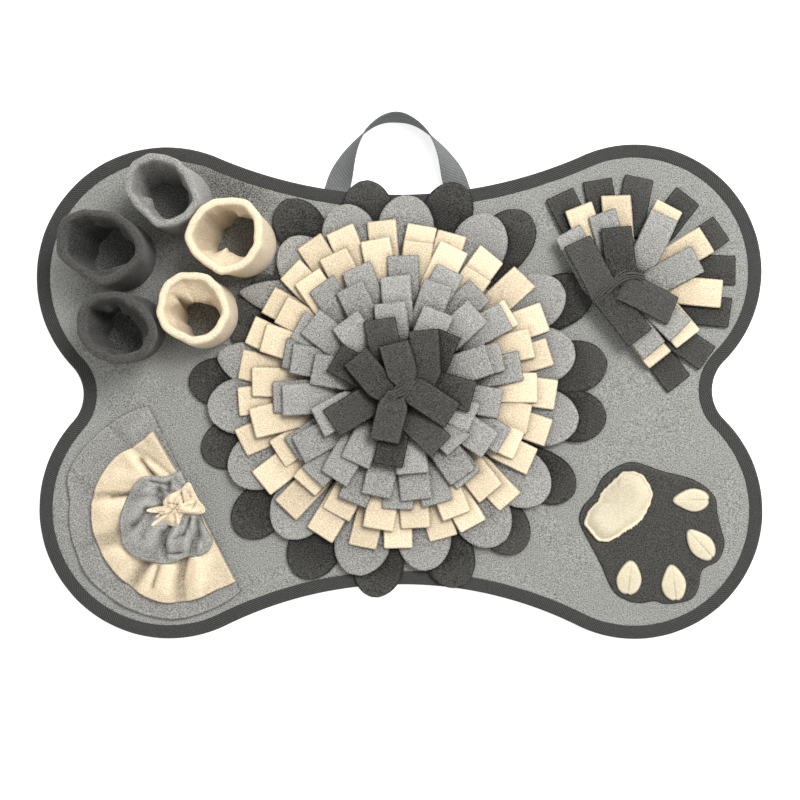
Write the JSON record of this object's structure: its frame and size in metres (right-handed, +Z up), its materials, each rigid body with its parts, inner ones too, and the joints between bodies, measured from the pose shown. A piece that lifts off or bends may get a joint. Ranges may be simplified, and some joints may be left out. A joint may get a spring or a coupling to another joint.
{
  "type": "snuffle mat",
  "caption": "Bone-shaped fleece snuffle mat with a flower of petals and strips, open cups, a corner tuft, a half-round ruffled rosette, a paw and a webbing carry handle.",
  "frame": {"origin": "centre of the flat underside, on the floor, midway between the mat's left and right edges", "axes": "+X to the right along the length, the tuft and the paw on that side; +Y along the width, towards the carry handle; +Z up, away from the floor"},
  "size_m": [0.7489, 0.5409, 0.0703],
  "materials": {
    "base_grey": "brushed fleece, matt",
    "binding_tape": "twill tape, matt",
    "charcoal_fleece": "pebbled fleece, matt",
    "cream_fleece": "pebbled fleece, matt",
    "light_grey_fleece": "pebbled fleece, matt",
    "pale_cream_plush": "short soft plush, matt",
    "webbing": "woven webbing, matt"
  },
  "bodies": {
    "root": {"base_panel": "base_grey", "carry_handle": "webbing", "crown_charcoal_inner": "charcoal_fleece", "crown_charcoal_outer": "charcoal_fleece", "cup_charcoal_lower": "charcoal_fleece", "cup_charcoal_upper": "charcoal_fleece", "cup_cream_lower": "cream_fleece", "cup_cream_upper": "cream_fleece", "cup_light_grey": "light_grey_fleece", "edge_binding": "binding_tape", "fringe_cream_inner": "cream_fleece", "fringe_cream_outer": "cream_fleece", "fringe_grey_inner": "light_grey_fleece", "fringe_grey_middle": "light_grey_fleece", "fringe_grey_outer": "light_grey_fleece", "paw_pad": "pale_cream_plush", "paw_patch": "charcoal_fleece", "paw_toe_1": "pale_cream_plush", "paw_toe_2": "pale_cream_plush", "paw_toe_3": "pale_cream_plush", "paw_toe_4": "pale_cream_plush", "petals_charcoal": "charcoal_fleece", "petals_grey": "light_grey_fleece", "rosette_base": "light_grey_fleece", "rosette_bud": "cream_fleece", "rosette_cream": "cream_fleece", "rosette_grey": "light_grey_fleece", "tuft_charcoal_base": "charcoal_fleece", "tuft_charcoal_top": "charcoal_fleece", "tuft_cream": "cream_fleece", "tuft_grey": "light_grey_fleece"}
  },
  "joints": []
}
